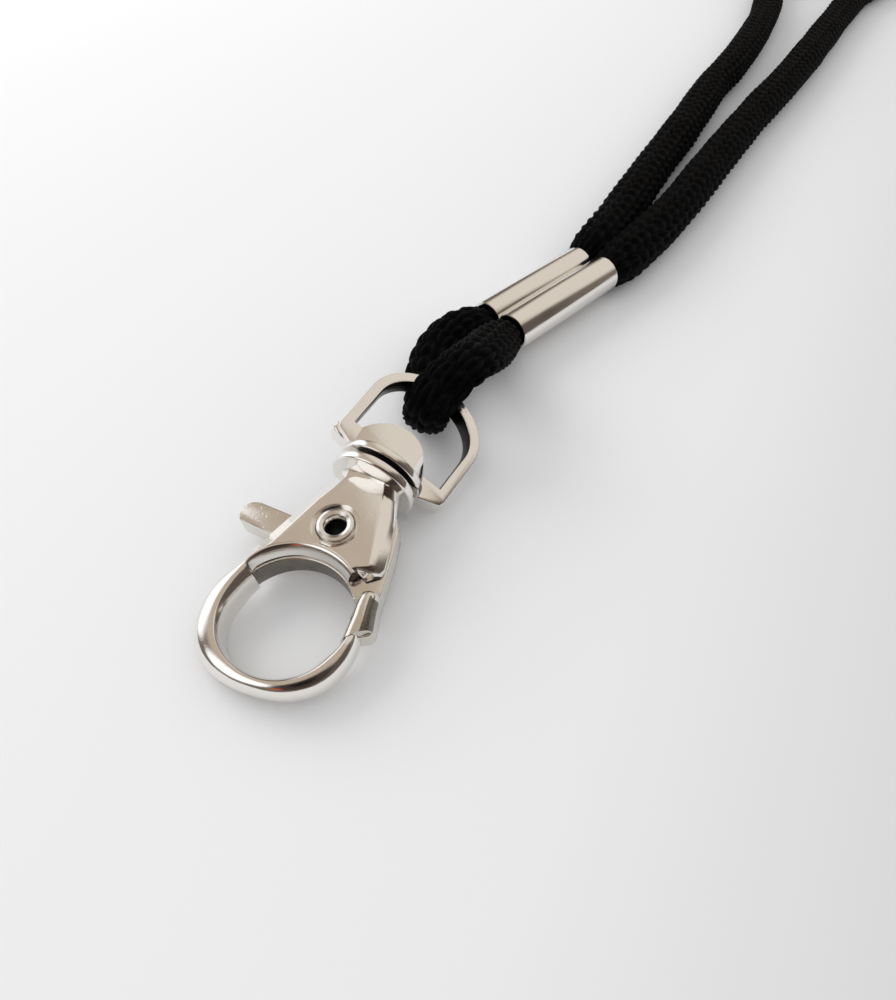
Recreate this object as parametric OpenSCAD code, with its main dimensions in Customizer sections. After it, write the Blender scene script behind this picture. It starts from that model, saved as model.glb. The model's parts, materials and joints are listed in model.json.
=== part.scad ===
// Neck lanyard: trigger snap hook with a swivel D-ring, on a knitted cord with two metal ferrules.
// The hook end points to -Y, the cord runs to +Y, and everything lies on the plane z = 0.

/* [Snap hook] */
// Outer radius of the hook bow
bow_r = 8; // [7.6:0.1:8.2]
// Radius of the eye, the inner wall of the bow
eye_r = 5.9; // [5.6:0.05:6.1]
// Thickness of the bow
bow_t = 3.2; // [2.8:0.1:3.6]
// Thickness of the whole hook casting
hook_t = 4.2; // [4:0.1:4.6]
// Thickness of the front plate
plate_t = 1.4; // [1.2:0.1:1.5]

/* [Latch] */
// Thickness of the latch
latch_t = 2.5; // [2.2:0.1:2.6]
// Width of the thumb lever
lever_w = 2.7; // [2.2:0.1:3]
// Distance from the swivel axis to the tip of the thumb lever
lever_reach = 10.9; // [10:0.1:11.5]
// Radius of the rivet shank
rivet_r = 1.5; // [1.3:0.05:1.6]
// Radial play of the latch on the rivet
rivet_play = 0.05; // [0.03:0.01:0.08]

/* [Swivel ring] */
// Outer width of the D-ring
ring_w = 13.6; // [13:0.1:14.4]
// Length of the D-ring from the front of its bar to the crown
ring_l = 12.7; // [12:0.1:13.5]
// Width of the D-ring band
band_w = 1.2; // [1:0.1:1.4]
// Depth of the D-ring band
band_t = 1.8; // [1.6:0.1:2]
// Radius of the collar and of the swivel flange
collar_r = 4.65; // [4.4:0.05:4.8]
// Radius of the swivel pin
pin_r = 1.3; // [1.1:0.05:1.4]
// Turn of the D-ring about the swivel axis as it lies, right side down
ring_roll = 26; // [20:1:28]

/* [Cord] */
// Diameter of the knitted cord
cord_d = 6.2; // [5.8:0.1:6.4]
// Outer diameter of a ferrule
ferrule_d = 4.8; // [4.4:0.1:4.8]
// Wall of a ferrule
ferrule_wall = 0.4; // [0.3:0.05:0.5]
// Length of a ferrule
ferrule_l = 18.6; // [17:0.1:20]
// Straight length of the hank's runs
hank_run = 93; // [93:1:100]

/* [Hidden] */
$fn = 96;

nickel = "#c9c4ba";
black = "#17171a";

// The snap hook is drawn flat: x across, y along the swivel axis, z = 0 at mid thickness.
bow_c = [-0.2, bow_r];
eye_c = [0.45, 7.6];
rivet_c = [0, 17.25];
collar_y = 23.5;
collar_l = 1.2;
flange_y = 25.1;
flange_l = 0.9;
bar_y = 26.3;
ring_shift = 0.35;
ring_skew = 4.5;
pin_head_y = 27.7;
face_z = hook_t / 2;
plate_z = face_z - plate_t;
latch_z = plate_z - 0.25;
gate_x = 8.25;
recess_r = 2.42;
recess_depth = 0.55;
rim_r = 1.98;
rim_wire = 0.38;
spring_r = 2.1;
spring_wire = 0.28;

// It lies on its bow and on its collar, so the swivel axis climbs towards the ring.
pitch = atan((collar_r - bow_t / 2) / collar_y);
axis_z = bow_t / 2 * cos(pitch);

// The frame's origin is under the middle of the hook and ring.
mid_x = (gate_x - lever_reach) / 2;
mid_y = ((bar_y + ring_l) * cos(pitch) + (band_t / 2 * cos(ring_roll) - bow_t / 2) * sin(pitch)) / 2;

// Cord route
ferrule_dir = 19.1;
// The right ferrule rides a little higher than the left.
ferrule_right_at = [1.95, 54.35, 3.4];
ferrule_left_at = [-2.37, 56.6, 2.4];
right_route = [[9.4, 78.2, 3.1], [11.1, 87, 3.1], [12.3, 96, 3.1], [13.1, 106, 3.1], [14.2, 119, 3.1],
    [15.6, 133, 3.1], [17.4, 147, 3.1], [18.9, 162, 3.1], [20.1, 177, 3.1], [21.3, 192, 3.1],
    [22.8, 206, 3.1], [25.8, 218, 3.1], [29.4, 230, 3.1], [32.3, 238, 3.1], [32.9, 243, 3.1]];
left_route = [[4.5, 79, 3.1], [4.95, 87, 3.1], [5, 96, 3.1], [5.1, 106, 3.1], [5.5, 118, 3.1],
    [5.6, 130, 3.1], [5.7, 141, 3.1], [6.5, 150, 3.1], [6.9, 164, 3.1], [6.5, 182, 3.1],
    [4.9, 196, 3.1], [3, 208, 3.5], [1.5, 219, 6.4], [0.7, 230, 9.3], [0.5, 238, 8.6]];
// x, y, z, width and thickness of the cord where it folds round the D-ring
loop_route = [[-2.37, 56.6, 2.4, 3.6, 3.6], [-3, 54.6, 2.7, 5, 4.8], [-4.2, 51.5, 3.1, 6.2, 5.6],
    [-4.7, 48, 3, 6.4, 5.4], [-4.3, 44.5, 2.6, 6.2, 4.6], [-3, 41.2, 2.2, 5.8, 3.9],
    [-1.7, 38.4, 2.15, 5.4, 3.7], [-0.7, 36.2, 2.9, 5.4, 3.5], [0, 34.9, 4.6, 5.4, 3.3],
    [0.7, 34.6, 6.7, 5.5, 3.3], [1.6, 35.4, 8.7, 5.6, 3.4], [2.5, 37.3, 9.9, 5.8, 3.6],
    [3, 39.8, 9.8, 6, 3.8], [3, 42.4, 8.7, 6.2, 4.4], [2.6, 45.4, 7.1, 6.3, 5.1],
    [2, 48.5, 5.4, 6.3, 5.6], [1.65, 51.6, 4, 5.4, 5.2], [1.95, 54.35, 3.4, 3.6, 3.6]];

// Hank of two turns, pinched at the tie
hank_at = [13.5, 243];
turn_in = 13;
turn_out = 19.4;
tie_w = 5;
tie_t = 0.7;

function unit(v) = v / norm(v);
function tangent(p, i) = unit(p[min(i + 1, len(p) - 1)] - p[max(i - 1, 0)]);
function side_of(t, flat) = flat ? unit(cross(t, [0, 0, 1])) : unit([1, 0, 0] - t[0] * t);
function xyz(p) = [for (q = p) [q[0], q[1], q[2]]];

// Half the distance between the outer runs at height u of the hank, 0 to 1
function half_run(r, mid, u) = mid + (r - mid) * (1 + cos(360 * u)) / 2;

// A tube of elliptical section along a path. A flat path, such as a coil, keeps its sections upright.
module tube(path, widths, depths, sides, first_dir = undef, last_dir = undef, flat = false) {
    n = len(path);
    rings = [for (i = [0:n - 1])
        let (t = i == 0 && first_dir != undef ? first_dir
                : i == n - 1 && last_dir != undef ? last_dir : tangent(path, i),
            s = side_of(t, flat), up = cross(s, t))
            for (k = [0:sides - 1])
                path[i] + s * cos(360 * k / sides) * widths[i] / 2
                    + up * sin(360 * k / sides) * depths[i] / 2];
    faces = concat([[for (k = [0:sides - 1]) k]],
        [for (i = [0:n - 2]) for (k = [0:sides - 1])
            [i * sides + k, (i + 1) * sides + k,
                (i + 1) * sides + (k + 1) % sides, i * sides + (k + 1) % sides]],
        [[for (k = [sides - 1:-1:0]) (n - 1) * sides + k]]);
    polyhedron(rings, faces);
}

module on_table() {
    translate([-mid_x, -mid_y, 0]) children();
}

module clasp_frame() {
    on_table() translate([0, 0, axis_z]) rotate([pitch, 0, 0]) children();
}

module ring_frame() {
    clasp_frame() rotate([0, ring_roll, 0]) children();
}

module along_axis(y) {
    translate([0, y, 0]) rotate([-90, 0, 0]) children();
}

module slab(z0, z1) {
    translate([0, 0, z0]) linear_extrude(z1 - z0) children();
}

module plate_outline() {
    difference() {
        polygon([[-8.05, 9.6], [-7.35, 10], [-6.45, 12.6], [-5.6, 16], [-4.6, 19.8], [-3.5, 23.6],
            [3.6, 23.6], [4.8, 20.4], [5.8, 17.6], [6.4, 15.1], [6.1, 14.5], [5.2, 13.6],
            [0.45, 7.6], [-4, 7.4]]);
        translate(eye_c) circle(eye_r + 0.5);
    }
}

module bow_outline() {
    difference() {
        translate(bow_c) circle(bow_r);
        translate(eye_c) circle(eye_r);
        // opening above the hook tip
        polygon([[5.5, 6.85], [9.5, 10.85], [9.5, 17], [-4.9, 17], [-4.9, 9.6], [0, 7.6]]);
        translate([-10, 9.6]) square([10, 8]);
    }
}

module hook_body() color(nickel) clasp_frame() difference() {
    union() {
        slab(-bow_t / 2, bow_t / 2) bow_outline();
        slab(plate_z, face_z) plate_outline();
        // left arm: the plate runs down into the bow
        slab(plate_z - 0.4, bow_t / 2) intersection() {
            translate(bow_c) circle(bow_r);
            difference() {
                translate([-8.6, 6]) square([4, 3.8]);
                translate(eye_c) circle(eye_r);
            }
        }
        // shoulder that rises from the plate to the collar
        translate([-3.1, 0, 0]) rotate([90, 0, 90]) linear_extrude(6.2)
            polygon([[21.9, plate_z], [22.3, -1.6], [23, -2.6], [collar_y + 0.1, -2.6],
                [collar_y + 0.1, 3.9], [23.3, 3.9], [22.7, face_z], [21.9, face_z]]);
        along_axis(collar_y) cylinder(h = collar_l, r = collar_r);
    }
    translate([0, 0, face_z - recess_depth]) translate(rivet_c) cylinder(h = 2, r = recess_r);
    translate([0, 0, -3]) translate(rivet_c) cylinder(h = 8, r = rivet_r);
    along_axis(collar_y - 0.9) cylinder(h = 4, r = pin_r);
}

module latch_outline() {
    difference() {
        union() {
            translate([lever_w / 2 - lever_reach, 15.75]) {
                circle(lever_w / 2);
                translate([0, -lever_w / 2]) square([6, lever_w]);
            }
            polygon([[-4.9, 9.85], [-5.7, 10.7], [-6, 14.4], [-4, 17.1], [-2.2, 19.6], [0, 20.3], [2.4, 20],
                [3.9, 21.3], [4.7, 21], [5.3, 19.8], [6.1, 17.3], [7.05, 13.6], [7.3, 12.3], [5, 11.3],
                [0.45, 7.6]]);
        }
        translate(eye_c) circle(eye_r + 0.25);
    }
}

module gate_outline() {
    difference() {
        union() {
            translate([6.35, 12.3]) circle(0.85);
            translate([7.35, 9.3]) circle(0.9);
            polygon([[5.55, 12.1], [6, 8], [6.9, 8], [8.25, 9.3], [8.1, 9.8], [7.15, 12.6]]);
        }
        translate(eye_c) circle(eye_r);
        // lap face against the hook tip
        polygon([[5.35, 6.9], [9.35, 10.9], [10, 6], [5.35, 5]]);
    }
}

module latch() color(nickel) clasp_frame() difference() {
    union() {
        slab(latch_z - latch_t, latch_z) latch_outline();
        slab(-bow_t / 2, bow_t / 2) gate_outline();
    }
    translate([0, 0, -4]) translate(rivet_c) cylinder(h = 8, r = rivet_r + rivet_play);
    // pocket for the spring
    translate([0, 0, latch_z - 0.6]) translate(rivet_c) cylinder(h = 2, r = spring_r + 0.4);
    // seat of the rivet's rolled end
    translate([0, 0, latch_z - latch_t - 1]) translate(rivet_c) cylinder(h = 1.6, r = recess_r);
}

module rivet() color(nickel) clasp_frame() translate(rivet_c) difference() {
    union() {
        translate([0, 0, latch_z - latch_t - 0.1]) cylinder(h = plate_t + latch_t + 0.3, r = rivet_r);
        for (z = [face_z - recess_depth + rim_wire, latch_z - latch_t])
            translate([0, 0, z]) rotate_extrude() translate([rim_r - rim_wire, 0]) circle(rim_wire);
    }
    translate([0, 0, -4]) cylinder(h = 8, r = 0.95);
}

// Torsion spring: a few turns round the rivet with a short straight leg at each end
module latch_spring() color(nickel) clasp_frame() translate([rivet_c[0], rivet_c[1], latch_z - 0.45]) {
    turns = 1.4;
    coil = [for (a = [0:20:360 * turns]) [spring_r * cos(a), spring_r * sin(a), 0.35 * a / 360]];
    last = 360 * turns;
    start = coil[0] + [0, -0.9, 0];
    end = coil[len(coil) - 1] + 0.9 * [-sin(last), cos(last), 0];
    path = concat([start], coil, [end]);
    wire = [for (q = path) spring_wire];
    tube(path, wire, wire, 8, flat = true);
}

module swivel_pin() color(nickel) clasp_frame() {
    along_axis(collar_y - 0.9) cylinder(h = pin_head_y + 1 - collar_y + 0.9, r = pin_r);
    along_axis(pin_head_y) cylinder(h = 1, r = 2.1);
}

module ring_side(w, l) {
    straight = l - (w / 2) * 0.82;
    intersection() {
        union() {
            translate([-w / 2, 0]) square([w, straight]);
            for (k = [0:1]) mirror([k, 0]) polygon(concat([[0, straight - 0.01]],
                [for (a = [0:7.5:90]) [w / 2 * cos(a), straight + (l - straight) * sin(a)]]));
        }
        translate([-w, 0]) square([2 * w, l + 1]);
    }
}

// The D sits a little askew on its boss.
module askew() {
    translate([ring_shift, bar_y]) rotate([0, 0, -ring_skew]) translate([0, -bar_y]) children();
}

module d_ring() color(nickel) ring_frame() difference() {
    union() {
        askew() slab(-band_t / 2, band_t / 2) translate([0, bar_y]) difference() {
            ring_side(ring_w, ring_l);
            translate([0, 1.5]) ring_side(ring_w - 2 * band_w, ring_l - 1.5 - band_w);
        }
        along_axis(flange_y) cylinder(h = flange_l, r = collar_r);
        // tapered ends of the bar
        askew() slab(-band_t / 2, band_t / 2) polygon([[-ring_w / 2, bar_y + 0.2], [-4.2, flange_y + 0.2],
            [4.2, flange_y + 0.2], [ring_w / 2, bar_y + 0.2], [ring_w / 2, bar_y + 1],
            [-ring_w / 2, bar_y + 1]]);
        // boss over the pin head
        intersection() {
            along_axis(flange_y) cylinder(h = 6, r = 4.2);
            translate([0, 26, -2.9]) cylinder(h = 5.8, r = 4.2);
            translate([-5, flange_y + 0.1, -5]) cube([10, 6, 10]);
        }
    }
    along_axis(flange_y - 1) cylinder(h = 3.5, r = pin_r + 0.05);
    along_axis(pin_head_y - 0.2) cylinder(h = 5, r = 2.3);
}

module ferrule(at) {
    on_table() translate(at) rotate([0, 0, -ferrule_dir]) along_axis(0) difference() {
        cylinder(h = ferrule_l, d = ferrule_d);
        translate([0, 0, -1]) cylinder(h = ferrule_l + 2, d = ferrule_d - 2 * ferrule_wall);
    }
}

module crimped_cord(at) {
    on_table() translate(at) rotate([0, 0, -ferrule_dir])
        along_axis(0) cylinder(h = ferrule_l, d = ferrule_d - 2 * ferrule_wall);
}

module ferrule_left() color(nickel) ferrule(ferrule_left_at);
module ferrule_right() color(nickel) ferrule(ferrule_right_at);
module crimped_cord_left() color(black) crimped_cord(ferrule_left_at);
module crimped_cord_right() color(black) crimped_cord(ferrule_right_at);

ferrule_vec = [sin(ferrule_dir), cos(ferrule_dir), 0];

module ring_loop() color(black) on_table()
    tube(xyz(loop_route), [for (q = loop_route) q[3]], [for (q = loop_route) q[4]], 12,
        -ferrule_vec, ferrule_vec);

// A strand starts at the mouth of its ferrule and swells to the cord's full size.
module strand(at, route) {
    mouth = at + ferrule_vec * ferrule_l;
    path = concat([mouth], route);
    sizes = [for (i = [0:len(path) - 1])
        i == 0 ? ferrule_d - 2 * ferrule_wall : i == 1 ? cord_d - 0.4 : cord_d];
    on_table() tube(path, sizes, sizes, 12, ferrule_vec);
}

module cord_left() color(black) strand(ferrule_left_at, left_route);
module cord_right() color(black) strand(ferrule_right_at, right_route);

// Outer shape of the hank: runs pinched at the tie, a wide far end, and the smaller near turn
module hank_outline() {
    steps = 24;
    out = cord_d / 2;
    turn_mid = (turn_in + turn_out) / 2;
    half = [for (i = [0:steps]) half_run(turn_out, 1.55 * cord_d, i / steps) + out];
    far_r = turn_out + out;
    near_r = turn_mid + out;
    polygon(concat([for (i = [0:steps]) [half[i], hank_run * i / steps]],
        [for (a = [7.5:7.5:172.5]) [far_r * cos(a), hank_run + far_r * sin(a)]],
        [for (i = [steps:-1:0]) [-half[i], hank_run * i / steps]],
        [for (a = [187.5:7.5:360]) [turn_mid - turn_out + near_r * cos(a), near_r * sin(a)]]));
}

module tie_window(half, z0, z1) {
    translate([-half, z0]) square([2 * half, z1 - z0]);
}

module at_tie() {
    translate([0, hank_run / 2, 0]) rotate([90, 0, 0]) linear_extrude(tie_w, center = true) children();
}

// The tie sits in a notch that it presses into the soft cord.
module cord_hank() color(black) on_table() translate(hank_at) difference() {
    linear_extrude(cord_d) hank_outline();
    at_tie() difference() {
        tie_window(20, -1, cord_d + 1);
        tie_window(2 * cord_d, tie_t, cord_d - tie_t);
    }
}

module hank_tie() color(black) on_table() translate(hank_at) at_tie() difference() {
    tie_window(2 * cord_d + tie_t, 0, cord_d);
    tie_window(2 * cord_d, tie_t, cord_d - tie_t);
}

hook_body();
latch();
rivet();
latch_spring();
swivel_pin();
d_ring();
ring_loop();
ferrule_left();
ferrule_right();
crimped_cord_left();
crimped_cord_right();
cord_left();
cord_right();
cord_hank();
hank_tie();
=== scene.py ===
# Lanyard: a small trigger snap hook on a swivel D-ring, two ferrules and a knitted neck cord.
# Lengths in the dictionaries are millimetres and angles are degrees. mm turns a length into metres.
import json
import math

import bmesh
import bpy
from mathutils import Matrix, Vector, noise


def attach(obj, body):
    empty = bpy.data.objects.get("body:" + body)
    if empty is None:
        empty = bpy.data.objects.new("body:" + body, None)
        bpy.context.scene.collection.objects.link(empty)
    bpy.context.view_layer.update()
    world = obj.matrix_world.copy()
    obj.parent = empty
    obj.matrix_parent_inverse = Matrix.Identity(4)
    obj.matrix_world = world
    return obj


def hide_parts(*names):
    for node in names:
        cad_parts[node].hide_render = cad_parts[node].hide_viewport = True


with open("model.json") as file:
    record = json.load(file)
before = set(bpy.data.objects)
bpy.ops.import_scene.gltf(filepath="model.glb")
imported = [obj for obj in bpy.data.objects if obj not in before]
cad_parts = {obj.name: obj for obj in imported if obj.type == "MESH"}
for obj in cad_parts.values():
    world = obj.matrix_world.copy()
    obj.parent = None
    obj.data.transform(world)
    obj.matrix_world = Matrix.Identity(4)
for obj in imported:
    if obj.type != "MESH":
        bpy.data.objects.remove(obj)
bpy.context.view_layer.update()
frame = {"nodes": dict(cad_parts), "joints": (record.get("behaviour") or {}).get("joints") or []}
scene = bpy.context.scene
scene.view_settings.view_transform = "Standard"
mm = 0.001

# The hook and the D-ring are modelled flat, x across, y along the swivel axis and z = 0 at mid
# thickness, and the joints of the frame say where that lies.
joints = {joint["name"]: joint for joint in frame["joints"]}
pivotY = 17.25
rivetHole = 1.55


def placeFrom(across, along, origin):
    along = Vector(along).normalized()
    up = Vector(across).cross(along).normalized()
    place = Matrix((along.cross(up), along, up)).transposed().to_4x4()
    place.translation = origin
    return place @ Matrix.Scale(mm, 4)


swivelAxis = Vector(joints["swivel"]["axis"])
hookOrigin = Vector(joints["latch_pivot"]["pos_m"]) - swivelAxis * pivotY * mm
hookPlace = placeFrom((1, 0, 0), swivelAxis, hookOrigin)
ringPlace = placeFrom(joints["ring_swing"]["axis"], swivelAxis, hookOrigin)
tablePlace = Matrix.Translation((hookOrigin.x, hookOrigin.y, 0)) @ Matrix.Scale(mm, 4)
print("frame loaded")

# Camera
view = {"at": (29.3, -16.87, 62.2), "tilt": 39.5, "turn": 27, "lens": 17.81, "sensor": 24}
cameraData = bpy.data.cameras.new("camera")
cameraData.lens = view["lens"]
cameraData.sensor_width = view["sensor"]
cameraData.clip_start = 0.001
camera = bpy.data.objects.new("camera", cameraData)
camera.location = tablePlace @ Vector(view["at"])
camera.rotation_euler = (math.radians(view["tilt"]), 0, math.radians(view["turn"]))
scene.collection.objects.link(camera)
scene.camera = camera


# Mesh helpers
def arc(centre, radius, start, end, steps, squeeze=1):
    points = []
    for k in range(steps + 1):
        turn = math.radians(start + (end - start) * k / steps)
        points.append((centre[0] + radius * math.cos(turn), centre[1] + radius * squeeze * math.sin(turn)))
    return points


def curvePoint(a, b, c, d, t):
    # the point from b to c on a smooth curve through all four
    return 0.5 * (2 * b + (c - a) * t + (2 * a - 5 * b + 4 * c - d) * t ** 2
                  + (3 * b - a - 3 * c + d) * t ** 3)


def smoothLine(points, step):
    # an even line through given points
    points = [Vector(p) for p in points]
    ends = [2 * points[0] - points[1], *points, 2 * points[-1] - points[-2]]
    fine = []
    for a, b, c, d in zip(ends, ends[1:], ends[2:], ends[3:]):
        fine += [curvePoint(a, b, c, d, k / 12) for k in range(12)]
    fine.append(points[-1])
    return evenly(fine, step)


def evenly(line, step):
    # step is one length, or a function of the distance run
    stepAt = step if callable(step) else lambda run: step
    spaced, run, due = [line[0]], 0, 0
    for a, b in zip(line, line[1:]):
        length = (b - a).length
        while length > 0 and run + length >= due + stepAt(due):
            due += stepAt(due)
            spaced.append(a.lerp(b, (due - run) / length))
        run += length
    if (spaced[-1] - line[-1]).length > 0.3 * stepAt(run):
        spaced.append(line[-1])
    return spaced


def along(table, at):
    # smooth value between the rows (place, value, ...) of a table
    if at <= table[0][0]:
        return list(table[0][1:])
    for k, (low, high) in enumerate(zip(table, table[1:])):
        if at <= high[0]:
            before, after = table[max(k - 1, 0)], table[min(k + 2, len(table) - 1)]
            span = high[0] - low[0]
            t = (at - low[0]) / span
            values = []
            for a0, a, b, b1 in zip(before[1:], low[1:], high[1:], after[1:]):
                leave = (b - a0) / (high[0] - before[0]) * span
                arrive = (b1 - a) / (after[0] - low[0]) * span
                values.append(a + t * (leave + t * (3 * (b - a) - 2 * leave - arrive
                                                    + t * (2 * (a - b) + leave + arrive))))
            return values
    return list(table[-1][1:])


def addLoft(bm, rings, uvScale=None, close=True):
    # a grid is wrapped on the rings, which are lists of points of one length
    count, rows = len(rings[0]), len(rings) - 1
    made = bmesh.ops.create_grid(bm, x_segments=count, y_segments=rows, size=1)["verts"]
    uvLayer = bm.loops.layers.uv.verify() if uvScale else None
    places = {}
    for vert in made:
        places[vert] = (round((vert.co.x + 1) / 2 * count), round((vert.co.y + 1) / 2 * rows))
    if uvLayer:
        for face in {face for vert in made for face in vert.link_faces}:
            for loop in face.loops:
                column, row = places[loop.vert]
                loop[uvLayer].uv = (column / count, uvScale[row])
    for vert, (column, row) in places.items():
        vert.co = rings[row][column % count]
    bmesh.ops.remove_doubles(bm, verts=made, dist=1e-5)
    if close:
        made = [vert for vert in made if vert.is_valid]
        openEdges = {edge for vert in made for edge in vert.link_edges if edge.is_boundary}
        bmesh.ops.holes_fill(bm, edges=list(openEdges), sides=count + 1)


def addLoop(bm, points):
    verts = [bm.verts.new(point) for point in points]
    return [bm.edges.new((verts[k - 1], verts[k])) for k in range(len(verts))]


def bevelEdges(bm, edges, width, segments=3):
    bmesh.ops.bevel(bm, geom=list(edges), offset=width, segments=segments, profile=0.5,
                    affect="EDGES", material=-1)


def addSlab(bm, outline, low, high, edge=0):
    # an upright slab, with its upper and lower rims rounded
    base = bmesh.ops.contextual_create(bm, geom=addLoop(bm, [(x, y, low) for x, y in outline]))["faces"]
    made = bmesh.ops.extrude_face_region(bm, geom=base)["geom"]
    top = [item for item in made if isinstance(item, bmesh.types.BMVert)]
    bmesh.ops.translate(bm, verts=top, vec=(0, 0, high - low))
    if edge:
        rim = {e for v in top for e in v.link_edges if all(abs(w.co.z - high) < 1e-6 for w in e.verts)}
        rim |= {e for e in base[0].edges}
        bevelEdges(bm, rim, edge)


def addRod(bm, radius, start, end, edge=0):
    # a round disc or rod along y
    turned = Matrix.Translation((0, (start + end) / 2, 0)) @ Matrix.Rotation(math.radians(90), 4, "X")
    made = bmesh.ops.create_cone(bm, cap_ends=True, segments=96, radius1=radius, radius2=radius,
                                 depth=end - start, matrix=turned)["verts"]
    if edge:
        rims = {e for v in made for e in v.link_edges if abs(e.verts[0].co.y - e.verts[1].co.y) < 1e-6}
        bevelEdges(bm, rims, edge)


def addPost(bm, radius, centre, long, flare=0, sides=72):
    # an upright round rod, wider at the top by flare
    bmesh.ops.create_cone(bm, cap_ends=True, segments=sides, radius1=radius, radius2=radius + flare,
                          depth=long, matrix=Matrix.Translation(centre))


def addTurned(bm, profile, axis="Z", sides=64):
    # a profile (radius, height) turned into a closed ring
    turn = {"Z": (0, 0, 1), "Y": (0, 1, 0)}[axis]
    points = [(r, 0, h) if axis == "Z" else (r, h, 0) for r, h in profile]
    edges = addLoop(bm, points)
    geometry = list({v for e in edges for v in e.verts}) + edges
    bmesh.ops.spin(bm, geom=geometry, cent=(0, 0, 0), axis=turn, angle=math.tau, steps=sides, use_merge=True)
    bmesh.ops.remove_doubles(bm, verts=bm.verts, dist=1e-5)


def asObject(name, bm):
    bmesh.ops.recalc_face_normals(bm, faces=bm.faces)
    mesh = bpy.data.meshes.new(name)
    bm.to_mesh(mesh)
    bm.free()
    piece = bpy.data.objects.new(name, mesh)
    scene.collection.objects.link(piece)
    return piece


def applyAll(piece):
    bpy.context.view_layer.update()
    finished = piece.evaluated_get(bpy.context.evaluated_depsgraph_get())
    mesh = bpy.data.meshes.new_from_object(finished)
    piece.modifiers.clear()
    piece.data = mesh


def combine(piece, tool, operation):
    change = piece.modifiers.new(operation.lower(), "BOOLEAN")
    change.operation = operation
    change.solver = "EXACT"
    change.object = tool
    applyAll(piece)
    bpy.data.objects.remove(tool)
    return piece


def roundEdges(piece, width, segments=2, angle=30):
    change = piece.modifiers.new("round", "BEVEL")
    change.width = width
    change.segments = segments
    change.limit_method = "ANGLE"
    change.angle_limit = math.radians(angle)
    applyAll(piece)


def cutRivetHole(piece):
    bm = bmesh.new()
    addPost(bm, rivetHole, (0, pivotY, 0), 8)
    combine(piece, asObject("rivet_hole_tool", bm), "DIFFERENCE")


def paintFaces(piece, place, material, chosen):
    # a second material, on the faces chosen by their middle and direction in the piece's flat plan
    piece.data.materials.append(material)
    toPlan = place.inverted()
    for face in piece.data.polygons:
        facing = (toPlan.to_3x3() @ face.normal).normalized()
        face.material_index = int(chosen(toPlan @ face.center, facing))


def settle(piece, place, material, body, nodes, sharp=32):
    # puts a finished piece in its place, hangs it on its body and hides the parts of the model that it stands
    # for
    piece.data.transform(place)
    piece.data.shade_smooth()
    if sharp:
        piece.data.set_sharp_from_angle(angle=math.radians(sharp))
    piece.data.materials.clear()
    piece.data.materials.append(material)
    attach(piece, body)
    if nodes:
        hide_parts(*nodes)
    return piece


# Materials
def newMaterial(name):
    material = bpy.data.materials.new(name)
    material.use_nodes = True
    nodes = material.node_tree.nodes
    return material, nodes, material.node_tree.links, nodes["Principled BSDF"]


def satinNickel(name, colour, dark, roughness, grain, pits):
    # plated casting: faint cloudy tone, fine grain and small pits
    material, nodes, links, shader = newMaterial(name)
    shader.inputs["Metallic"].default_value = 1
    coords = nodes.new("ShaderNodeTexCoord")
    clouds = nodes.new("ShaderNodeTexNoise")
    clouds.inputs["Scale"].default_value = 350
    clouds.inputs["Detail"].default_value = 4
    links.new(coords.outputs["Object"], clouds.inputs["Vector"])
    tone = nodes.new("ShaderNodeMix")
    tone.data_type = "RGBA"
    tone.inputs["A"].default_value = (*dark, 1)
    tone.inputs["B"].default_value = (*colour, 1)
    links.new(clouds.outputs["Fac"], tone.inputs["Factor"])
    links.new(tone.outputs["Result"], shader.inputs["Base Color"])
    gloss = nodes.new("ShaderNodeMapRange")
    gloss.inputs["From Min"].default_value = 0.3
    gloss.inputs["From Max"].default_value = 0.7
    gloss.inputs["To Min"].default_value = roughness * 0.75
    gloss.inputs["To Max"].default_value = roughness * 1.3
    links.new(clouds.outputs["Fac"], gloss.inputs["Value"])
    links.new(gloss.outputs["Result"], shader.inputs["Roughness"])
    fine = nodes.new("ShaderNodeTexNoise")
    fine.inputs["Scale"].default_value = 5200
    fine.inputs["Detail"].default_value = 3
    links.new(coords.outputs["Object"], fine.inputs["Vector"])
    spots = nodes.new("ShaderNodeTexVoronoi")
    spots.inputs["Scale"].default_value = 1300
    links.new(coords.outputs["Object"], spots.inputs["Vector"])
    pit = nodes.new("ShaderNodeMapRange")
    pit.inputs["From Max"].default_value = 0.16
    links.new(spots.outputs["Distance"], pit.inputs["Value"])
    pitBump = nodes.new("ShaderNodeBump")
    pitBump.inputs["Strength"].default_value = min(1, pits)
    pitBump.inputs["Distance"].default_value = 0.00006 * max(1, pits)
    links.new(pit.outputs["Result"], pitBump.inputs["Height"])
    grainBump = nodes.new("ShaderNodeBump")
    grainBump.inputs["Strength"].default_value = min(1, grain)
    grainBump.inputs["Distance"].default_value = 0.00002 * max(1, grain)
    links.new(fine.outputs["Fac"], grainBump.inputs["Height"])
    links.new(pitBump.outputs["Normal"], grainBump.inputs["Normal"])
    links.new(grainBump.outputs["Normal"], shader.inputs["Normal"])
    return material


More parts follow.
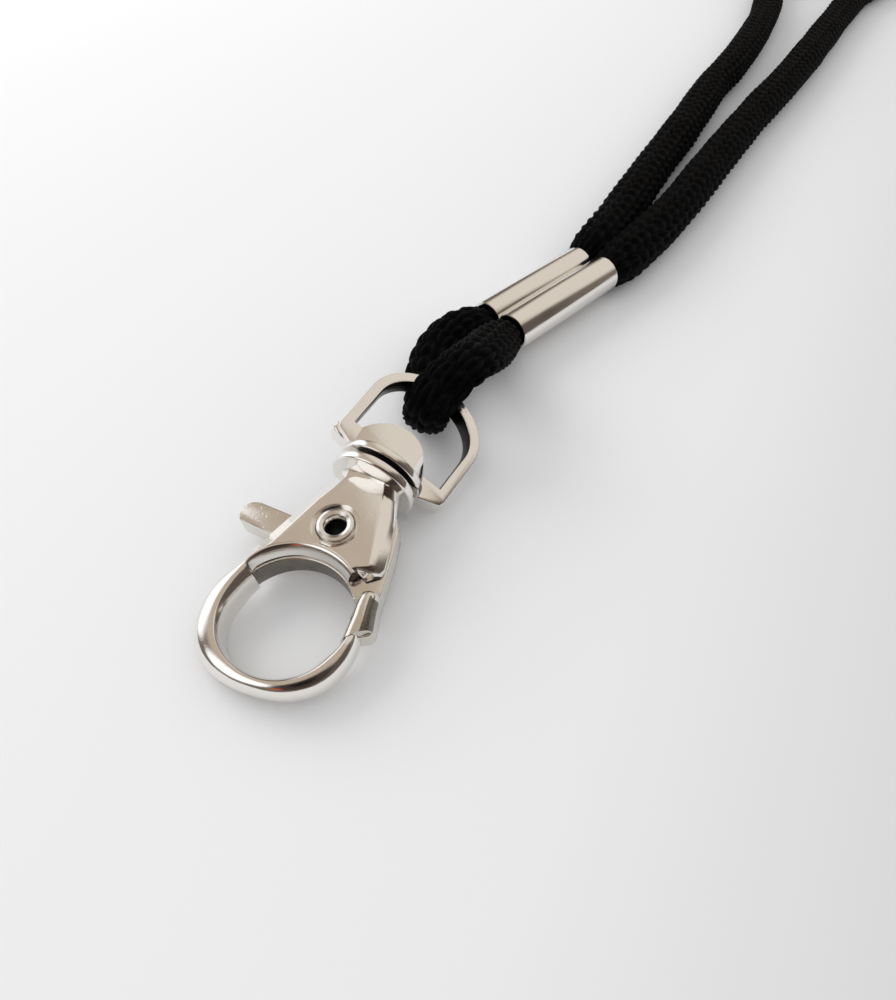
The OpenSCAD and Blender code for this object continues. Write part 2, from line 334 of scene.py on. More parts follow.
def knitYarn(name, colour, light):
    # black yarn: fine filaments along each stitch, with a soft sheen
    material, nodes, links, shader = newMaterial(name)
    shader.inputs["Roughness"].default_value = 0.62
    shader.inputs["Specular IOR Level"].default_value = 0.05
    shader.inputs["Sheen Weight"].default_value = 0.006
    shader.inputs["Sheen Roughness"].default_value = 0.4
    coords = nodes.new("ShaderNodeTexCoord")
    stretch = nodes.new("ShaderNodeMapping")
    stretch.inputs["Scale"].default_value = (90, 14, 1)
    links.new(coords.outputs["UV"], stretch.inputs["Vector"])
    fibre = nodes.new("ShaderNodeTexNoise")
    fibre.inputs["Scale"].default_value = 3
    fibre.inputs["Detail"].default_value = 5
    links.new(stretch.outputs["Vector"], fibre.inputs["Vector"])
    lint = nodes.new("ShaderNodeTexNoise")
    lint.inputs["Scale"].default_value = 900
    lint.inputs["Detail"].default_value = 4
    links.new(coords.outputs["Object"], lint.inputs["Vector"])
    tone = nodes.new("ShaderNodeValToRGB")
    tone.color_ramp.elements[0].position = 0.42
    tone.color_ramp.elements[0].color = (*colour, 1)
    tone.color_ramp.elements[1].position = 0.72
    tone.color_ramp.elements[1].color = (*light, 1)
    links.new(lint.outputs["Fac"], tone.inputs["Fac"])
    links.new(tone.outputs["Color"], shader.inputs["Base Color"])
    bump = nodes.new("ShaderNodeBump")
    bump.inputs["Strength"].default_value = 0.6
    bump.inputs["Distance"].default_value = 0.0002
    links.new(fibre.outputs["Fac"], bump.inputs["Height"])
    links.new(bump.outputs["Normal"], shader.inputs["Normal"])
    return material


castNickel = satinNickel("cast nickel", (0.91, 0.885, 0.85), (0.84, 0.81, 0.77), 0.12, 0.2, 0.12)
latchNickel = satinNickel("latch nickel", (0.86, 0.83, 0.78), (0.74, 0.70, 0.64), 0.15, 0.4, 0.4)
# a pitted casting painted dark: painted shade for the latch's wall round the eye and for the gate's flank
# that faces away from the light
pittedShadeCasting = satinNickel("pitted casting in painted shade", (0.34, 0.31, 0.27), (0.10, 0.088, 0.075), 0.3, 3, 3)
# near-black nickel: painted shade for the D-ring's inner faces
paintedShadeWall = satinNickel("shaded wall", (0.05, 0.045, 0.04), (0.02, 0.018, 0.016), 0.3, 0.3, 0.1)
rivetNickel = satinNickel("rivet nickel", (0.88, 0.86, 0.83), (0.80, 0.78, 0.74), 0.16, 0.2, 0.2)
tubeNickel = satinNickel("ferrule nickel", (0.90, 0.87, 0.83), (0.85, 0.82, 0.78), 0.15, 0.08, 0.05)
# near-black nickel: painted shade inside the rivet's bore
shadedBore = satinNickel("bore in painted shade", (0.06, 0.055, 0.05), (0.03, 0.028, 0.025), 0.5, 0.5, 0.2)
springWire = satinNickel("spring wire", (0.5, 0.5, 0.5), (0.35, 0.35, 0.35), 0.3, 0.2, 0)
blackYarn = knitYarn("black yarn", (0.0006, 0.0006, 0.0007), (0.004, 0.004, 0.0046))
tieBlack = knitYarn("tie black", (0.006, 0.006, 0.006), (0.02, 0.02, 0.022))


# Cord. The route's points are those of the CAD model.
cord = {"thick": 6.2, "stitch": 2.1, "columns": 8, "depth": 0.8}
ferrule = {"turn": 19.1, "long": 18.6, "outer": 2.4, "wall": 0.4,
           "right": (1.95, 54.35, 3.4), "left": (-2.37, 56.6, 2.4)}
# inner and outer are the radii of the hank's turns, and the pinches are in cord thicknesses
hank = {"at": (13.5, 243), "run": 93, "inner": 13, "outer": 19.4, "innerPinch": 0.52, "outerPinch": 1.55,
        "tieWide": 5, "tieThick": 0.7}
rightRoute = [(9.4, 78.2, 3.1), (11.1, 87, 3.1), (12.3, 96, 3.1), (13.1, 106, 3.1), (14.2, 119, 3.1),
              (15.6, 133, 3.1), (17.4, 147, 3.1), (18.9, 162, 3.1), (20.1, 177, 3.1), (21.3, 192, 3.1),
              (22.8, 206, 3.1), (25.8, 218, 3.1), (29.4, 230, 3.1), (32.3, 238, 3.1), (32.9, 243, 3.1)]
leftRoute = [(4.5, 79, 3.1), (4.95, 87, 3.1), (5, 96, 3.1), (5.1, 106, 3.1), (5.5, 118, 3.1),
             (5.6, 130, 3.1), (5.7, 141, 3.1), (6.5, 150, 3.1), (6.9, 164, 3.1), (6.5, 182, 3.1),
             (4.9, 196, 3.1), (3, 208, 3.5), (1.5, 219, 6.4), (0.7, 230, 9.3), (0.5, 238, 7.6)]
loopRoute = [(-2.37, 56.6, 2.4, 3.6, 3.6), (-3, 54.6, 2.7, 5, 4.8), (-4.2, 51.5, 3.1, 6.2, 5.6),
             (-4.7, 48, 3, 6.4, 5.4), (-4.3, 44.5, 2.6, 6.2, 4.6), (-3, 41.2, 2.2, 5.8, 3.9),
             (-1.7, 38.4, 2.15, 5.4, 3.7), (-0.7, 36.2, 2.9, 5.4, 3.5), (0, 34.9, 4.6, 5.4, 3.3),
             (0.7, 34.6, 6.7, 5.5, 3.3), (1.6, 35.4, 8.7, 5.6, 3.4), (2.5, 37.3, 9.9, 5.8, 3.6),
             (3, 39.8, 9.8, 6, 3.8), (3, 42.4, 8.7, 6.2, 4.4), (2.6, 45.4, 7.1, 6.3, 5.1),
             (2, 48.5, 5.4, 6.3, 5.6), (1.65, 51.6, 4, 5.4, 5.2), (1.95, 54.35, 3.4, 3.6, 3.6)]
ferruleWay = Vector((math.sin(math.radians(ferrule["turn"])), math.cos(math.radians(ferrule["turn"])), 0))


def mouth(side, far):
    return Vector(ferrule[side]) + ferruleWay * ferrule["long"] * far


def stitchHeight(column, row):
    # two slanting lobes make each V-shaped stitch of a column. The result is 0 to 1.
    across = abs(2 * (column % 1) - 1)
    lobe = abs(math.sin(math.pi * (row + 0.6 * across))) ** 0.6
    leg = 1 - abs(2 * across - 1) ** 2.4
    return leg ** 0.5 * (0.25 + 0.75 * lobe)


def knitRings(line, sizes, sideAt, run, around):
    # sizes are the width and height at each point, over the crowns of the stitches
    rings, uvRows = [], []
    for k, point in enumerate(line):
        way = (line[min(k + 1, len(line) - 1)] - line[max(k - 1, 0)]).normalized()
        side = sideAt(way)
        up = side.cross(way)
        wide, high = sizes[k]
        soft = 0.06 * noise.noise(Vector((run[k] * 0.12, 3.7, wide)))
        ring = []
        for j in range(around):
            turn = math.tau * j / around
            column = cord["columns"] * (j / around + 0.0008 * run[k])
            lump = 0.05 * noise.noise(Vector((run[k] * 0.7, 2.1 * math.cos(turn), 2.1 * math.sin(turn))))
            depth = cord["depth"] * min(1, wide / cord["thick"]) ** 2
            drop = depth * (1 - stitchHeight(column, run[k] / cord["stitch"])) - lump * 1.2
            ring.append(point + side * math.cos(turn) * (wide / 2 * (1 + soft) - drop)
                        + up * math.sin(turn) * (high / 2 * (1 + soft) - drop))
        rings.append(ring)
        uvRows.append(run[k] / cord["stitch"] * 0.1)
    return rings, uvRows


def runOf(line):
    run = [0]
    for a, b in zip(line, line[1:]):
        run.append(run[-1] + (b - a).length)
    return run


def levelSide(way):
    return way.cross(Vector((0, 0, 1))).normalized()


def uprightSide(way):
    return (Vector((1, 0, 0)) - way.x * way).normalized()


def halfRun(end, middle, u):
    return middle + (end - middle) * (1 + math.cos(math.tau * u)) / 2


def hankRoute():
    x, y = hank["at"]
    near, height = (hank["inner"] + hank["outer"]) / 2, cord["thick"] / 2
    innerPinch, outerPinch = hank["innerPinch"] * cord["thick"], hank["outerPinch"] * cord["thick"]
    steps = [k / 10 for k in range(1, 10)]

    def runSide(end, middle, sign, order):
        return [(x + sign * halfRun(end, middle, u), y + hank["run"] * u, height) for u in order]

    def turnRound(centre, radius, start, end):
        return [(px, py, height) for px, py in arc(centre, radius, start, end, 14)]

    far = (x, y + hank["run"])
    route = runSide(hank["outer"], outerPinch, 1, steps)
    route += turnRound(far, hank["outer"], 0, 180)
    route += runSide(hank["outer"], outerPinch, -1, steps[::-1])
    route += turnRound((x + near - hank["outer"], y), near, 180, 360)
    route += runSide(hank["inner"], innerPinch, 1, steps)
    route += turnRound(far, hank["inner"], 0, 180)
    route += runSide(hank["inner"], innerPinch, -1, steps[:0:-1])
    lifted = height + 0.7
    return route + [(x - halfRun(hank["inner"], innerPinch, 0.1), y + hank["run"] * 0.1, lifted)]


def neckStep(run):
    # finer rows on the two strands than on the hank
    strand, fine, coarse = 165, 0.42, 0.85
    return fine if run < strand or run > neckLong - strand else coarse


neckPoints = [mouth("right", 0.97), *rightRoute, *hankRoute(), (0.6, 245, 5.6), *leftRoute[::-1],
              mouth("left", 0.97)]
roughLine = smoothLine(neckPoints, 1)
neckLong = runOf(roughLine)[-1]
neckLine = smoothLine(neckPoints, neckStep)
neckRun = runOf(neckLine)


# distance from a ferrule, and how thick the cord is there
swell = [(0, 3.7), (0.9, 4.3), (3.2, 5.7), (8, 6.3), (30, cord["thick"]), (900, cord["thick"])]


def neckSize(point, run):
    # swells out of each ferrule, and is pressed flat under the tie
    fromEnd = min(run, neckLong - run)
    thick = along(swell, fromEnd)[0]
    middle = hank["at"][1] + hank["run"] / 2
    pressed = math.exp(-((point.y - middle) / 3.4) ** 4) if abs(point.x - hank["at"][0]) < 16 else 0
    return thick * 1.04, thick * 1.04 - 2 * hank["tieThick"] * pressed * 1.05


bm = bmesh.new()
neckSizes = [neckSize(point, run) for point, run in zip(neckLine, neckRun)]
rings, uvRows = knitRings(neckLine, neckSizes, levelSide, neckRun, 64)
addLoft(bm, rings, uvRows)
neckCord = settle(asObject("neck_cord", bm), tablePlace, blackYarn, "cord",
                  ["cord_left", "cord_right", "cord_hank"], sharp=0)
print("neck cord", round(neckRun[-1]), "mm")

# Loop: through one ferrule, under and round the crown of the D-ring, and back through the other
crimped = (3.5, 3.5)
loopTable = [(*mouth("left", 0.99), *crimped), (*mouth("left", 0.5), *crimped), *loopRoute,
             (*mouth("right", 0.5), *crimped), (*mouth("right", 0.99), *crimped)]
loopLine = smoothLine([row[:3] for row in loopTable], 0.22)
loopRun = runOf(loopLine)
loopKnots = []
for row in loopTable:
    nearest = min(range(len(loopLine)), key=lambda k: (loopLine[k] - Vector(row[:3])).length)
    loopKnots.append((loopRun[nearest], row[3], row[4]))
bm = bmesh.new()
rings, uvRows = knitRings(loopLine, [along(loopKnots, r) for r in loopRun], uprightSide, loopRun, 96)
addLoft(bm, rings, uvRows)
loopCord = settle(asObject("loop_cord", bm), tablePlace, blackYarn, "cord",
                  ["ring_loop", "crimped_cord_left", "crimped_cord_right"], sharp=0)

# Ferrules: thin rolled tubes
outer, inner, long = ferrule["outer"], ferrule["outer"] - ferrule["wall"], ferrule["long"]
ferruleTurn = Matrix.Rotation(-math.radians(ferrule["turn"]), 4, "Z")
for side in ("left", "right"):
    bm = bmesh.new()
    addTurned(bm, [(inner, 0.12), (inner + 0.08, 0.02), (outer - 0.14, 0), (outer - 0.04, 0.05), (outer, 0.2),
                   (outer, long - 0.2), (outer - 0.04, long - 0.05), (outer - 0.14, long),
                   (inner + 0.08, long - 0.02), (inner, long - 0.12)], "Y", 72)
    tube = asObject("ferrule_tube_" + side, bm)
    place = tablePlace @ Matrix.Translation(mouth(side, 0)) @ ferruleTurn
    settle(tube, place, tubeNickel, "cord", ["ferrule_" + side])

# Tie of the hank: a strip with rounded corners
bm = bmesh.new()
tieHalf, tieHigh = 2 * cord["thick"] + hank["tieThick"], cord["thick"]
corner = 2.4
profile = []
for cx, cz, start in ((tieHalf - corner, tieHigh - corner, 0), (corner - tieHalf, tieHigh - corner, 90),
                      (corner - tieHalf, corner, 180), (tieHalf - corner, corner, 270)):
    profile += arc((cx, cz), corner, start, start + 90, 6)
tieY = hank["at"][1] + hank["run"] / 2
tieRings = []
for inset, y in ((0, -1), (0, 1), (hank["tieThick"], 1), (hank["tieThick"], -1), (0, -1)):
    narrow, low = 1 - inset / tieHalf, 1 - 2 * inset / tieHigh
    tieRings.append([(hank["at"][0] + x * narrow, tieY + y * hank["tieWide"] / 2,
                      tieHigh / 2 + (z - tieHigh / 2) * low) for x, z in profile])
addLoft(bm, tieRings, [0, 1, 1.1, 2.1, 2.2], close=False)
bmesh.ops.remove_doubles(bm, verts=bm.verts, dist=1e-5)
tie = asObject("hank_strap", bm)
roundEdges(tie, 0.2)
settle(tie, tablePlace, tieBlack, "cord", ["hank_tie"])

print("cord pieces done")


# Snap hook casting
eye = (0.45, 7.6)
hook = {"plateLow": 0.7, "plateHigh": 2.1, "collar": 4.65, "collarY": 23.5,
        "collarLong": 1.05, "recess": 2.42, "recessDeep": 0.55, "pin": 1.3}
# angle round the eye, inner, outer and crest radius, and the heights of crest, inner wall and foot
rimTable = [(-8, 5.85, 7.0, 6.4, 1.45, 0.6, -1.5), (0, 5.82, 7.3, 6.42, 1.58, 0.65, -1.6),
            (18, 5.62, 7.6, 6.4, 1.6, 0.7, -1.6), (35, 5.78, 7.73, 6.45, 1.6, 0.75, -1.6),
            (55, 5.85, 7.6, 6.5, 1.6, 0.85, -1.6), (82, 5.97, 7.42, 6.45, 1.6, 0.9, -1.6),
            (103, 6.02, 7.75, 6.47, 1.6, 0.88, -1.6), (119, 6.12, 8.24, 6.55, 1.62, 0.84, -1.6),
            (132, 6.15, 8.62, 6.6, 1.66, 0.8, -1.6), (145, 6.05, 8.78, 6.6, 1.72, 0.75, -1.6),
            (163, 5.72, 8.55, 6.5, 1.85, 0.7, -1.6), (180, 5.4, 8.2, 6.4, 1.98, 0.65, -1.6),
            (194, 5.35, 7.7, 6.45, 2.05, 0.68, -1.6), (200, 5.36, 7.5, 6.55, 2.07, 0.7, -1.6),
            (202, 5.38, 7.48, 6.6, 2.08, 0.72, -1.6), (204.5, 6.33, 7.5, 6.7, 2.08, 0.95, 0.5),
            (208, 6.38, 7.6, 6.85, 2.08, 1, 0.68), (216, 6.38, 8, 7.05, 2.08, 1, 0.68),
            (226, 6.38, 7.9, 7.12, 2.08, 1, 0.68), (302, 6.38, 7.9, 7.12, 2.08, 1, 0.68)]


def rimSection(inner, outer, crest, top, wall, low):
    corners = [(inner + 0.35, low), (inner, min(low + 0.6, (low + wall) / 2)), (inner, wall),
               ((inner + crest) / 2 - 0.08, wall + 0.7 * (top - wall)), (crest, top),
               (crest + 0.66 * (outer - crest), 0.72 * top), (outer, max(-0.1, low + 0.4)),
               (outer - 0.4, low + 0.3)]
    section = []
    for k in range(len(corners)):
        a, b, c, d = (Vector(corners[(k + i) % len(corners)]) for i in range(4))
        section += [curvePoint(a, b, c, d, t) for t in (0, 0.25, 0.5, 0.75)]
    return section


def rimRings():
    rings = []
    for at in [2.5 * k - 8 for k in range(85)] + [204.5 + 2.5 * k for k in range(40)]:
        inner, outer, *heights = along(rimTable, at)
        ring = []
        for radius, z in rimSection(inner, outer, *heights):
            slant = 6 * (2 * (radius - inner) / (outer - inner) - 1) * max(0, 1 - (at + 8) / 26)
            turn = math.radians(slant - at)
            ring.append((eye[0] + radius * math.cos(turn), eye[1] + radius * math.sin(turn), z))
        rings.append(ring)
    return rings


# low x and y, top x and y, and how far the flank has moved in at each third of the height
plateTable = [(-6.6, 11.9, -4.78, 12.4, 0.4, 0.8), (-5.5, 15.9, -3.9, 15.9, 0.4, 0.8),
              (-4.6, 19.1, -3.1, 19.1, 0.4, 0.8), (-3.5, 22.7, -1.95, 22.3, 0.4, 0.8),
              (-3.0, 23.7, -1.1, 22.95, 0.2, 0.6), (0.5, 23.8, 0.5, 23.3, 0.2, 0.6),
              (3.3, 23.7, 2.1, 23.2, 0.2, 0.6), (4.75, 20.4, 3.4, 20.2, 0.02, 0.5),
              (5.75, 17.6, 4.4, 17.2, 0.02, 0.5), (6.35, 15.4, 5.15, 15.1, 0.02, 0.5),
              (6.3, 14.8, 5.15, 14.75, 0.15, 0.55), (5.9, 14.4, 4.9, 14.6, 0.15, 0.55),
              (5.2, 13.75, 4.1, 14.15, 0.15, 0.55)]


def plateRings():
    rows = list(plateTable)
    for angle in range(62, 140, 6):
        turn = math.radians(angle)
        c, s = math.cos(turn), math.sin(turn)
        rows.append((eye[0] + 7.5 * c, eye[1] + 7.5 * s, eye[0] + 7.14 * c, eye[1] + 7.14 * s, 0.4, 0.8))
    heights = [hook["plateLow"], 1.2, 1.72, hook["plateHigh"]]
    rings = []
    for level, z in enumerate(heights):
        ring = []
        for lowX, lowY, topX, topY, third, twoThirds in rows:
            t = (0, third, twoThirds, 1)[level]
            ring.append((lowX + (topX - lowX) * t, lowY + (topY - lowY) * t, z))
        rings.append(ring)
    return rings


bm = bmesh.new()
addLoft(bm, plateRings())
topRim = [e for e in bm.edges if all(abs(v.co.z - hook["plateHigh"]) < 1e-4 for v in e.verts)]
bevelEdges(bm, topRim, 0.1, 2)
hookBody = asObject("hook_casting", bm)
bm = bmesh.new()
addPost(bm, hook["recess"], (0, pivotY, hook["plateHigh"] - hook["recessDeep"] + 1), 2, flare=0.04)
combine(hookBody, asObject("recess_tool", bm), "DIFFERENCE")
cutRivetHole(hookBody)
bm = bmesh.new()
bm.from_mesh(hookBody.data)
addLoft(bm, rimRings())
shoulder = [[(-3.3, 23.6, 0.6), (-2.9, 23.0, 1.3), (-1.95, 22.4, 2.04), (-0.9, 22.92, 2.05),
             (0.5, 23.22, 2.05), (2, 23.14, 2.05), (2.5, 23.4, 1.4), (3, 23.6, 0.7), (0, 24.2, 0.6)],
            [(-3.35, 23.62, 0.8), (-3, 23.5, 1.6), (-2.1, 23.36, 2.12), (-1, 23.42, 2.18), (0.5, 23.46, 2.2),
             (2, 23.44, 2.18), (2.6, 23.55, 1.6), (3.05, 23.62, 0.8), (0, 24.2, 1)]]
addLoft(bm, shoulder)
addSlab(bm, [(-3, 24), (-3, 21.9), (3, 21.9), (3, 24)], -2.6, hook["plateLow"] + 0.3, 0.35)
addRod(bm, hook["collar"], hook["collarY"], hook["collarY"] + hook["collarLong"], 0.28)
bpy.data.objects.remove(hookBody)
hookBody = asObject("hook_casting", bm)
settle(hookBody, hookPlace, castNickel, "clasp", ["hook_body"])
print("hook casting done")

# Latch: lever, hub and gate in one casting
latch = {"low": -2.05, "high": 0.45, "wall": 6.15, "edge": 0.16}
latchOutline = [(-5.0, 17.15), (-9.1, 17.1), (-9.9, 16.8), (-10.4, 16.25), (-10.62, 15.5), (-10.4, 14.85),
                (-9.9, 14.5), (-5.9, 14.45), (-5.7, 11.2)]
latchOutline += arc(eye, latch["wall"], 159, 42, 24)
latchOutline += [(5.35, 12.2), (7.2, 12.4), (7.0, 13.6), (6.1, 17.3), (5.3, 19.8), (4.5, 21.1), (3.8, 21.3),
                 (2.4, 20.6), (0, 20.4), (-2.4, 19.7), (-4.1, 18)]
bm = bmesh.new()
addSlab(bm, latchOutline, latch["low"], latch["high"], latch["edge"])
latchPiece = asObject("latch_blank", bm)
cutRivetHole(latchPiece)
# how far down the gate, middle x and y, width and half height of each section
gateTable = [(0, 6.25, 13.1, 0.9, 0.8), (0.06, 6.28, 12.95, 1.4, 1.25), (0.15, 6.32, 12.6, 1.75, 1.55),
             (0.35, 6.5, 11.6, 2, 1.68), (0.65, 6.85, 10.2, 2.15, 1.7), (1, 7.15, 8.66, 2.15, 1.62)]
rings = []
for k in range(31):
    step = k / 30
    x, y, wide, high = along(gateTable, step)
    slope = 0.25 + 0.75 * max(0, (step - 0.6) / 0.4)
    ring = []
    for j in range(32):
        turn = math.tau * j / 32
        c, s = math.cos(turn), math.sin(turn)
        across = math.copysign(abs(c) ** 0.8, c) * wide / 2
        ring.append((x + across, y + across * slope, math.copysign(abs(s) ** 0.8, s) * high))
    rings.append(ring)
bm = bmesh.new()
bm.from_mesh(latchPiece.data)
addLoft(bm, rings)
addSlab(bm, [(5.9, 13), (7.25, 12.5), (7.9, 10.8), (8.25, 9.75), (8.1, 9.3), (7.4, 8.75), (6.6, 9.2)],
        -1.6, latch["high"], 0.14)
bpy.data.objects.remove(latchPiece)
latchPiece = asObject("latch_casting", bm)
settle(latchPiece, hookPlace, latchNickel, "latch", ["latch"])


def inPaintedShade(spot, facing):
    # the wall round the eye, and the gate's outer flank: both get the pitted casting painted dark as shade
    wall = math.hypot(spot.x - eye[0], spot.y - eye[1]) < latch["wall"] + 0.02 and spot.y > 9.7
    flank = spot.z > 0.5 and 8.9 < spot.y < 12.4 and facing.x > 0.2
    return wall or flank


# painted shade: the chosen faces of the latch get the dark casting
paintFaces(latchPiece, hookPlace, pittedShadeCasting, inPaintedShade)
print("latch done")

# Rivet: a tube with both ends rolled over
bm = bmesh.new()
addTurned(bm, [(0.84, -2.2), (0.84, 1.3), (0.92, 1.78), (1.18, 2.16), (1.52, 2.3), (1.8, 2.2), (1.96, 1.95),
               (1.9, 1.66), (1.7, 1.56), (1.5, 1.5), (1.5, -1.95), (1.7, -2.02), (1.9, -2.1), (1.96, -2.3),
               (1.8, -2.46), (1.5, -2.52), (1.1, -2.42)], "Z", 72)
bmesh.ops.translate(bm, verts=bm.verts, vec=(0, pivotY, 0))
rivet = settle(asObject("rivet_eyelet", bm), hookPlace, rivetNickel, "clasp", ["rivet"])
# the faces inside the rivet's bore are painted dark as shade
paintFaces(rivet, hookPlace, shadedBore, lambda spot, facing: math.hypot(spot.x, spot.y - pivotY) < 0.87)

# D-ring, flat like a stamped casting, with a flange and a boss for the swivel pin
ring = {"half": 6.8, "band": 1.2, "low": -1.4, "high": 0.9, "barY": 26.3, "long": 12.1, "legs": 6.5,
        "flangeY": 25.1, "flangeLong": 0.9, "boss": 4.2, "bossHalf": 2.35, "bossY": 26, "bossTurn": 21,
        "bore": 2.3, "skew": 5.5, "shift": 0.35}
crownHigh = ring["long"] - ring["legs"]
legTop = ring["barY"] + ring["legs"]
outline = [(-ring["half"], 26.9), (-6.6, 26.3), (-4.4, 25.5), (4.4, 25.5), (6.6, 26.3), (ring["half"], 26.9)]
outline += arc((0, legTop), ring["half"], 0, 180, 36, crownHigh / ring["half"])
bm = bmesh.new()
addSlab(bm, outline, ring["low"], ring["high"])
dRing = asObject("d_ring_casting", bm)
insideHalf = ring["half"] - ring["band"]
window = [(-insideHalf, 27.9), (insideHalf, 27.9)]
window += arc((0, legTop), insideHalf, 0, 180, 36, (crownHigh - ring["band"]) / insideHalf)
bm = bmesh.new()
addSlab(bm, window, -3, 3)
combine(dRing, asObject("window_tool", bm), "DIFFERENCE")
roundEdges(dRing, 0.14, 3)
bm = bmesh.new()
bm.from_mesh(dRing.data)
# lower blobs at the ends of the bar
for sign in (-1, 1):
    corners = [(4.9, 25.75), (6.6, 25.95), (7.05, 26.3), (7.05, 27.1), (4.9, 27.1)]
    addSlab(bm, [(sign * x, y) for x, y in corners], -1.75, 0.3, 0.28)
bpy.data.objects.remove(dRing)
dRing = asObject("d_ring_casting", bm)
dRing.data.transform(Matrix.Translation((ring["shift"], ring["barY"], 0))
                     @ Matrix.Rotation(-math.radians(ring["skew"]), 4, "Z")
                     @ Matrix.Translation((0, -ring["barY"], 0)))
bm = bmesh.new()
addRod(bm, ring["boss"], ring["flangeY"] + 0.2, 32)
boss = asObject("boss", bm)
bm = bmesh.new()
addPost(bm, ring["boss"], (0, ring["bossY"], 0), 2 * ring["bossHalf"], sides=96)
combine(boss, asObject("boss_tool", bm), "INTERSECT")
roundEdges(boss, 0.14, 2, 40)
boss.data.transform(Matrix.Rotation(-math.radians(ring["bossTurn"]), 4, "Y"))
combine(dRing, boss, "UNION")
bm = bmesh.new()
addRod(bm, hook["collar"], ring["flangeY"], ring["flangeY"] + ring["flangeLong"], 0.16)
combine(dRing, asObject("flange", bm), "UNION")
bm = bmesh.new()
addRod(bm, ring["bore"], 27.5, 34)
combine(dRing, asObject("boss_bore_tool", bm), "DIFFERENCE")
bm = bmesh.new()
addRod(bm, hook["pin"] + 0.05, 24, 30)
combine(dRing, asObject("pin_bore_tool", bm), "DIFFERENCE")
settle(dRing, ringPlace, castNickel, "swivel_ring", ["d_ring"])


def onPaintedShadeWall(spot, facing):
    # the D's inner faces, without the boss, which are painted dark as shade
    inward = facing.dot((Vector((0.9, 32, 0)) - spot).normalized())
    onBoss = spot.y < 30.4 and abs(spot.x) < 4.3
    return (spot.y > 27.3 and abs(facing.z) < 0.6 and inward > 0.1
            and abs(spot.x - 0.9) < 7.2 and not onBoss)


# painted shade on the D's inner faces
paintFaces(dRing, ringPlace, paintedShadeWall, onPaintedShadeWall)

for node, material in (("swivel_pin", rivetNickel), ("latch_spring", springWire)):
    frame["nodes"][node].data.materials.clear()
    frame["nodes"][node].data.materials.append(material)
print("metal pieces done")


# Table, light and the room that the metal mirrors
def addSheet(name, left, right, front, back, height):
    bm = bmesh.new()
    corners = ((left, front), (right, front), (right, back), (left, back))
    bm.faces.new([bm.verts.new((x, y, height)) for x, y in corners])
    return asObject(name, bm)


# The sheet of paper ends just outside the view, and what lies beyond it mirrors dark.
floor = addSheet("paper_sheet", -0.7, 0.07, -0.05, 0.8, 0)
desk = addSheet("desk", -1.5, 1.5, -1.2, 1.6, -0.001)
wood, nodes, links, shader = newMaterial("desk")
shader.inputs["Base Color"].default_value = (0.09, 0.06, 0.045, 1)
shader.inputs["Roughness"].default_value = 0.6
desk.data.materials.append(wood)
paper, nodes, links, shader = newMaterial("paper")
# The paper's colour is painted light to the left and painted shade towards the right, darkest at the right
# edge of the view.
across = nodes.new("ShaderNodeSeparateXYZ")
links.new(nodes.new("ShaderNodeTexCoord").outputs["Object"], across.inputs[0])
spread = nodes.new("ShaderNodeMapRange")
spread.inputs["From Min"].default_value = -0.17
spread.inputs["From Max"].default_value = 0.06
links.new(across.outputs["X"], spread.inputs["Value"])
shade = nodes.new("ShaderNodeValToRGB")
paintedShadeStops = [(0, 0.99), (0.55, 0.9), (0.87, 0.84), (1, 0.7)]
for place, value in paintedShadeStops[1:-1]:
    shade.color_ramp.elements.new(place)
for stop, (place, value) in zip(shade.color_ramp.elements, paintedShadeStops):
    stop.position = place
    stop.color = (value, value, value, 1)
links.new(spread.outputs["Result"], shade.inputs["Fac"])
links.new(shade.outputs["Color"], shader.inputs["Base Color"])
shader.inputs["Roughness"].default_value = 0.9
shader.inputs["Specular IOR Level"].default_value = 0.1
floor.data.materials.append(paper)

world = bpy.data.worlds.new("room")
scene.world = world
world.use_nodes = True
nodes, links = world.node_tree.nodes, world.node_tree.links
background = nodes["Background"]
heading = nodes.new("ShaderNodeTexCoord").outputs["Generated"]


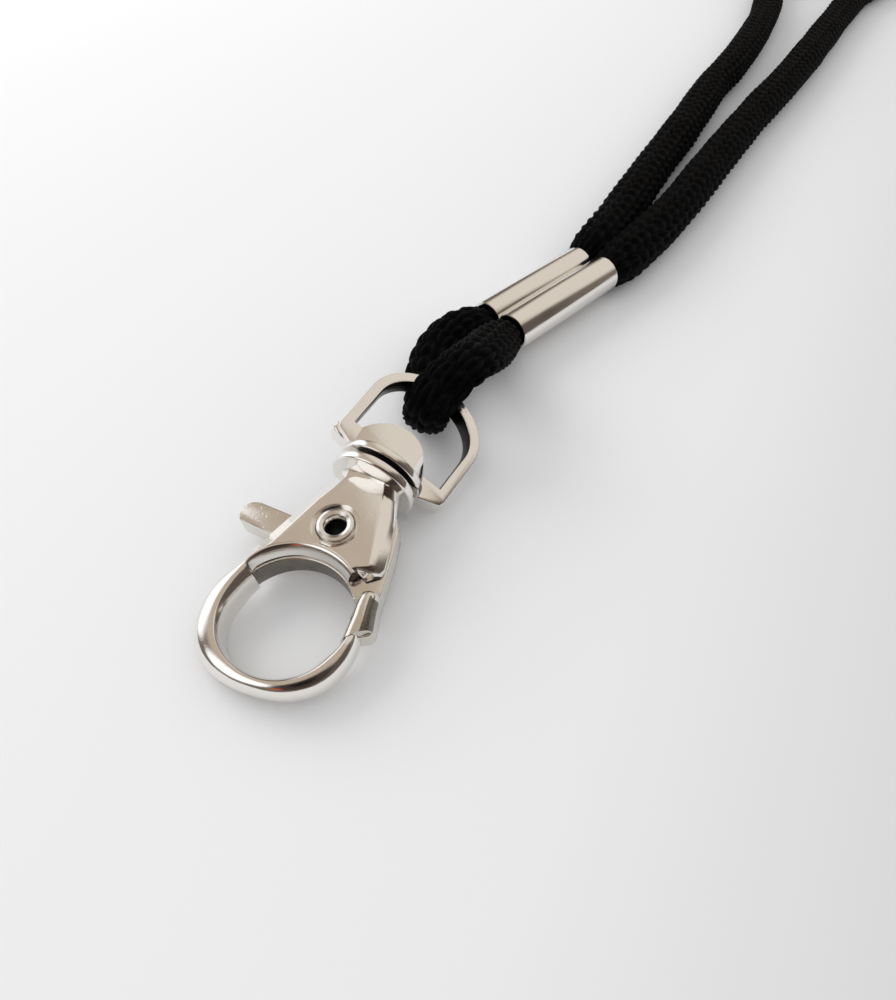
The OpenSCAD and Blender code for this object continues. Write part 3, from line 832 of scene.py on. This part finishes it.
def patch(below, azimuth, elevation, inner, outer, colour):
    # a soft round patch of the room. Azimuth 0 is +Y and 90 is +X.
    a, e = math.radians(azimuth), math.radians(elevation)
    dot = nodes.new("ShaderNodeVectorMath")
    dot.operation = "DOT_PRODUCT"
    dot.inputs[1].default_value = (math.sin(a) * math.cos(e), math.cos(a) * math.cos(e), math.sin(e))
    links.new(heading, dot.inputs[0])
    edge = nodes.new("ShaderNodeMapRange")
    edge.interpolation_type = "SMOOTHSTEP"
    edge.inputs["From Min"].default_value = math.cos(math.radians(outer))
    edge.inputs["From Max"].default_value = math.cos(math.radians(inner))
    links.new(dot.outputs["Value"], edge.inputs["Value"])
    mix = nodes.new("ShaderNodeMix")
    mix.data_type = "RGBA"
    mix.inputs["B"].default_value = (*colour, 1)
    links.new(below, mix.inputs["A"])
    links.new(edge.outputs["Result"], mix.inputs["Factor"])
    return mix.outputs["Result"]


walls = nodes.new("ShaderNodeRGB")
walls.outputs[0].default_value = (0.17, 0.14, 0.115, 1)
look = walls.outputs[0]
# azimuth, elevation, inner and outer radius in degrees, and colour: ceiling, bright far wall, window on
# the left, dark right wall, onlooker, the onlooker's dark middle, a small warm patch and a second window
patches = [(-30, 80, 40, 52, (0.52, 0.44, 0.36)), (10, 40, 28, 44, (0.74, 0.69, 0.62)),
           (-82, 18, 22, 32, (1.25, 1.25, 1.27)), (95, 22, 20, 34, (0.10, 0.082, 0.07)),
           (145, 38, 27, 36, (0.05, 0.034, 0.028)), (150, 47, 9, 14, (0.006, 0.005, 0.005)),
           (176, 24, 4, 8, (0.55, 0.12, 0.04)), (214, 34, 18, 26, (1.2, 1.2, 1.22))]
for row in patches:
    look = patch(look, *row)
plain = nodes.new("ShaderNodeMix")
plain.data_type = "RGBA"
plain.inputs["A"].default_value = (0.80, 0.80, 0.806, 1)
links.new(nodes.new("ShaderNodeLightPath").outputs["Is Glossy Ray"], plain.inputs["Factor"])
links.new(look, plain.inputs["B"])
links.new(plain.outputs["Result"], background.inputs["Color"])
background.inputs["Strength"].default_value = 1

windowLight = bpy.data.lights.new("window", "AREA")
windowLight.shape = "RECTANGLE"
windowLight.size = 0.9
windowLight.size_y = 0.8
windowLight.energy = 6
lamp = bpy.data.objects.new("window", windowLight)
lamp.location = (-1.0, 0.27, 0.65)
lamp.rotation_euler = (Vector((0, 0.03, 0)) - lamp.location).to_track_quat("-Z", "Y").to_euler()
scene.collection.objects.link(lamp)
lamp.visible_glossy = False
print("light and table done")
